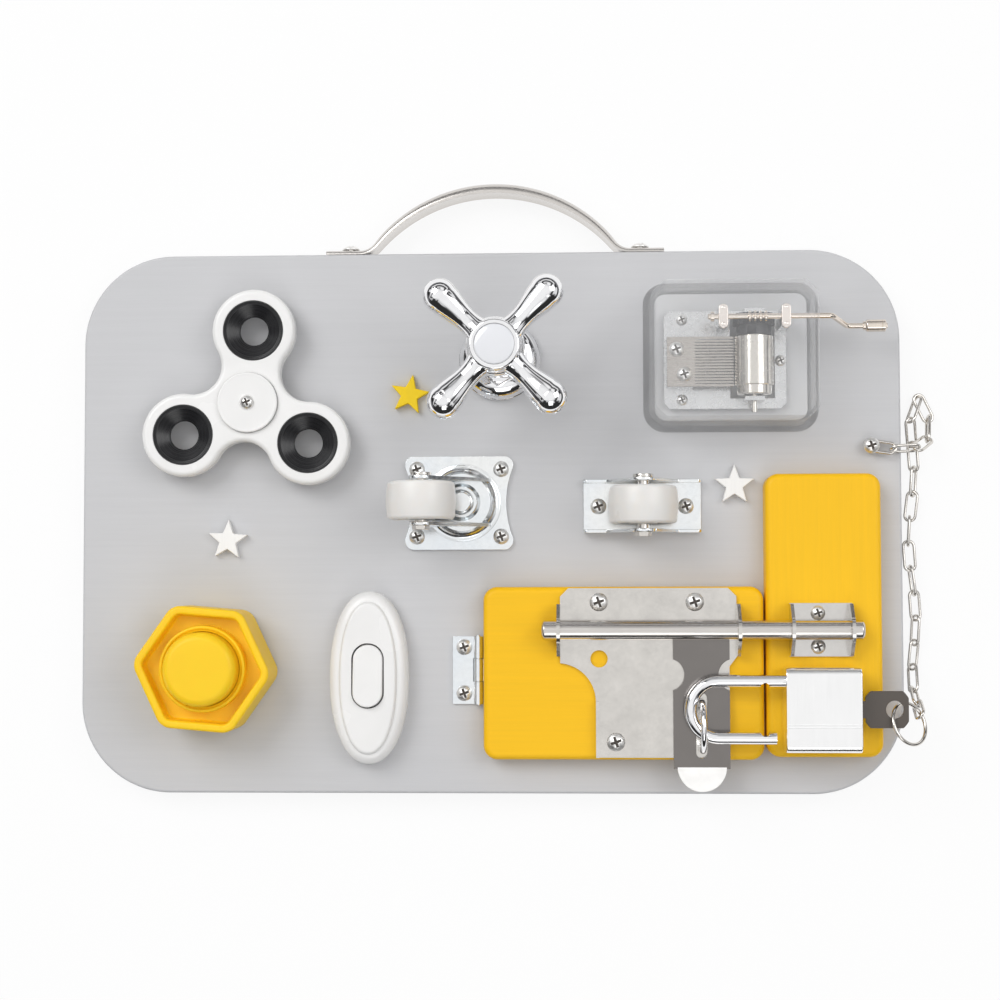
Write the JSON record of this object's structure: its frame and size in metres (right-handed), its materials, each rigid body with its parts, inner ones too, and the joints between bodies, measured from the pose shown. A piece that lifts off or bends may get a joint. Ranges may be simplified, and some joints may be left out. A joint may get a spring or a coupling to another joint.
{
  "type": "wooden busy board",
  "caption": "Plywood activity panel with a carry handle and turning, rolling, latching and locking toys for small hands.",
  "frame": {"origin": "centre of the panel's back face", "axes": "+X to the viewer's right along the panel's width, +Y towards the edge with the carry handle, +Z out of the face with the toys"},
  "size_m": [0.3137, 0.2247, 0.059],
  "materials": {
    "grey_plywood": "grey stained birch plywood, satin, clear rounded edge",
    "yellow_wood": "yellow stained wood, satin, rounded edges",
    "white_paint_wood": "white painted wood, matte",
    "brushed_nickel": "nickel plated steel, brushed along its length",
    "nickel": "bright nickel plate",
    "nickel_sheet": "nickel plated sheet, faintly mottled",
    "zinc": "bright blue zinc plate",
    "zinc_casting": "zinc die casting, satin",
    "comb_steel": "ground spring steel",
    "drum_steel": "nickel plated brass tube with fine pins",
    "bearing_steel": "polished bearing steel",
    "chrome": "mirror chrome plate",
    "chrome_satin": "chrome plate, softly ground faces",
    "brass": "brass lock plug",
    "black_steel": "black oxide ring, semi gloss",
    "dark_nylon": "dark nylon gear",
    "dark_key": "dark rubberised key bow, bare of lettering",
    "white_plastic": "white gloss moulded plastic",
    "clear_white": "pale translucent plastic button",
    "milky_plastic": "milky translucent nylon wheel",
    "clear_plastic": "clear polystyrene case",
    "yellow_plastic": "yellow moulded plastic, soft gloss"
  },
  "bodies": {
    "root": {"board_panel": "grey_plywood", "carry_handle": "brushed_nickel", "handle_screws": "nickel", "stars_white": "white_paint_wood", "star_yellow": "yellow_wood", "wood_screws": "zinc", "spinner_spacer": "white_plastic", "spinner_bearing_inner": "bearing_steel", "spinner_cap": "white_plastic", "spinner_screw": "nickel", "tap_flange": "chrome", "tap_body": "chrome", "music_base": "clear_plastic", "music_cover": "clear_plastic", "music_bedplate": "zinc_casting", "music_comb": "comb_steel", "music_comb_screws": "zinc", "music_plate_screws": "zinc", "music_clips": "nickel", "caster_plate": "zinc", "bracket_plate": "zinc", "bracket_axle": "nickel", "toy_bolt": "yellow_plastic", "switch_base": "white_plastic", "switch_cover": "white_plastic", "fixed_block": "yellow_wood", "keeper": "nickel_sheet", "keeper_screws": "nickel", "hinge_board_leaf": "zinc", "hinge_pin": "zinc", "padlock_shackle": "chrome", "chain": "nickel"},
    "spinner": {"spinner_body": "white_plastic", "spinner_weights": "black_steel", "spinner_bearing_outer": "bearing_steel"},
    "balls": {"spinner_balls": "bearing_steel"},
    "tap": {"tap_handle": "chrome", "tap_spindle": "chrome", "tap_button": "clear_white"},
    "crank": {"crank_shaft": "nickel", "crank_knob": "nickel"},
    "drum": {"music_drum": "drum_steel", "music_gear": "dark_nylon"},
    "yoke": {"caster_yoke": "zinc", "caster_axle": "nickel"},
    "swivel_wheel": {"caster_wheel": "milky_plastic"},
    "fixed_wheel": {"bracket_wheel": "milky_plastic"},
    "nut": {"toy_nut": "yellow_plastic"},
    "rocker": {"switch_rocker": "white_plastic"},
    "door": {"door_panel": "yellow_wood", "hinge_door_leaf": "zinc", "latch_plate": "nickel_sheet", "latch_screws": "nickel", "latch_staple": "chrome", "latch_bolt": "brushed_nickel", "latch_hasp": "nickel_sheet"},
    "lock": {"padlock_body": "chrome_satin", "key_ring": "nickel"},
    "key": {"padlock_plug": "brass", "padlock_key": "dark_key"}
  },
  "joints": [
    {"name": "spinner_spin", "type": "hinge", "parent": "root", "child": "spinner", "pos_m": [-0.087, 0.0431, 0.0195], "axis": [0, 0, 1], "continuous": true},
    {"name": "ball_orbit", "type": "hinge", "parent": "root", "child": "balls", "pos_m": [-0.087, 0.0431, 0.0195], "axis": [0, 0, 1], "continuous": true},
    {"name": "tap_turn", "type": "hinge", "parent": "root", "child": "tap", "pos_m": [0.0043, 0.0592, 0.047], "axis": [0, 0, 1], "continuous": true},
    {"name": "crank_turn", "type": "hinge", "parent": "root", "child": "crank", "pos_m": [0.1, 0.0715, 0.03325], "axis": [1, 0, 0], "continuous": true},
    {"name": "drum_turn", "type": "hinge", "parent": "root", "child": "drum", "pos_m": [0.096, 0.0567, 0.0236], "axis": [0, 1, 0], "continuous": true},
    {"name": "caster_swivel", "type": "hinge", "parent": "root", "child": "yoke", "pos_m": [-0.0095, 0.0067, 0.017], "axis": [0, 0, 1], "continuous": true},
    {"name": "caster_wheel_spin", "type": "hinge", "parent": "yoke", "child": "swivel_wheel", "pos_m": [-0.0229, 0.0067, 0.034], "axis": [0, 1, 0], "continuous": true},
    {"name": "fixed_wheel_spin", "type": "hinge", "parent": "root", "child": "fixed_wheel", "pos_m": [0.056, 0.0052, 0.027], "axis": [0, 1, 0], "continuous": true},
    {"name": "nut_turn", "type": "hinge", "parent": "root", "child": "nut", "pos_m": [-0.1015, -0.053, 0.022], "axis": [0, 0, 1], "continuous": true},
    {"name": "rocker_tilt", "type": "hinge", "parent": "root", "child": "rocker", "pos_m": [-0.0433, -0.0559, 0.0202], "axis": [1, 0, 0], "range_deg": [0, 12]},
    {"name": "door_swing", "type": "hinge", "parent": "root", "child": "door", "pos_m": [-0.0037, -0.054, 0.0138], "axis": [0, -1, 0], "range_deg": [0, 100]},
    {"name": "padlock_close", "type": "slide", "parent": "root", "child": "lock", "axis": [-1, 0, 0], "range_m": [0, 0.0095], "deforming": ["chain"]},
    {"name": "key_turn", "type": "hinge", "parent": "lock", "child": "key", "pos_m": [0.1235, -0.0674, 0.0288], "axis": [1, 0, 0], "range_deg": [0, 90]}
  ],
  "couplings": [
    {"joint": "ball_orbit", "follows": "spinner_spin", "ratio": 0.63},
    {"joint": "drum_turn", "follows": "crank_turn", "ratio": 0.035714}
  ]
}
